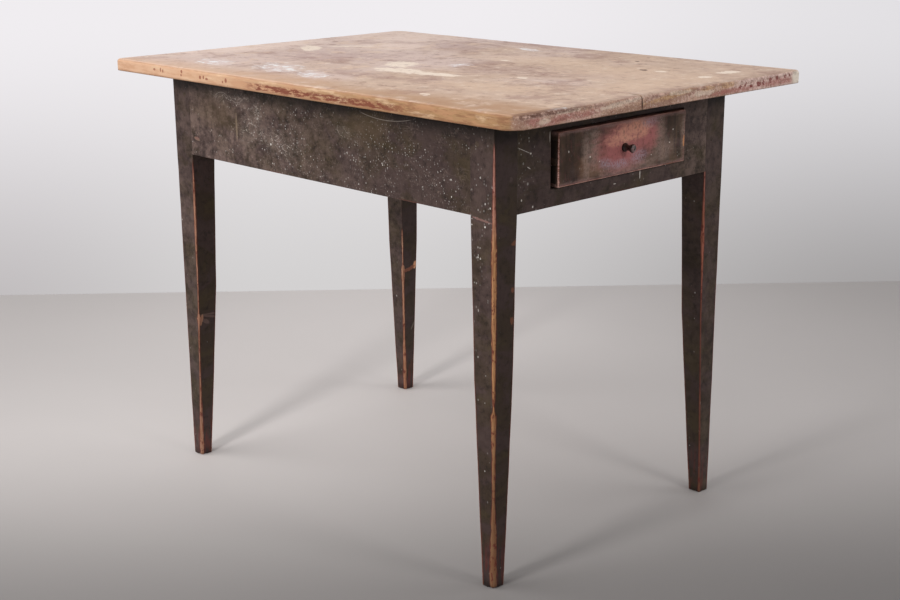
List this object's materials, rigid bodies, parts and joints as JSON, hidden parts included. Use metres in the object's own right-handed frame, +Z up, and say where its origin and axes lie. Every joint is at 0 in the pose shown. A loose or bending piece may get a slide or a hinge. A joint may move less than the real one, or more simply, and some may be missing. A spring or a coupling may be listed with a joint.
{
  "type": "tavern table",
  "caption": "Old painted pine tavern table with tapered square legs, flush aprons, a worn bare overhanging top and a drawer with a turned knob at one end.",
  "frame": {"origin": "on the floor, below the middle of the top's outline", "axes": "+Z up from the floor; +X along the long sides, towards the end with the drawer; +Y across, to the right as seen facing the drawer"},
  "size_m": [0.98, 0.685, 0.75],
  "materials": {
    "top_wood": "bare worn pine, matt",
    "painted_wood": "old dark paint worn through to pine on the arrises, satin",
    "drawer_front_wood": "old dark paint rubbed back to red and pink around the knob, satin",
    "knob_wood": "dark turned wood, polished by use",
    "inside_wood": "unpainted aged pine, matt",
    "iron": "dull dark iron"
  },
  "bodies": {
    "frame": {"top_board_left": "top_wood", "top_board_middle": "top_wood", "top_board_right": "top_wood", "leg_left_near": "painted_wood", "leg_right_near": "painted_wood", "leg_left_far": "painted_wood", "leg_right_far": "painted_wood", "apron_left": "painted_wood", "apron_right": "painted_wood", "apron_far_end": "painted_wood", "apron_drawer_end": "painted_wood", "joint_pegs": "painted_wood", "top_dowels": "inside_wood", "batten_far": "inside_wood", "batten_middle": "inside_wood", "batten_near": "inside_wood", "glue_blocks": "inside_wood", "runner_rail": "inside_wood", "runner_left": "inside_wood", "runner_right": "inside_wood", "guide_left": "inside_wood", "guide_right": "inside_wood", "kicker_left": "inside_wood", "kicker_right": "inside_wood", "drawer_stops": "inside_wood", "batten_screws": "iron", "kicker_screws": "iron", "runner_nails": "iron"},
    "drawer": {"drawer_front": "drawer_front_wood", "drawer_side_left": "inside_wood", "drawer_side_right": "inside_wood", "drawer_back": "inside_wood", "drawer_bottom": "inside_wood", "drawer_nails": "iron", "drawer_knob": "knob_wood"}
  },
  "joints": [
    {"name": "drawer_slide", "type": "slide", "parent": "frame", "child": "drawer", "axis": [1, 0, 0], "range_m": [0, 0.36]}
  ]
}
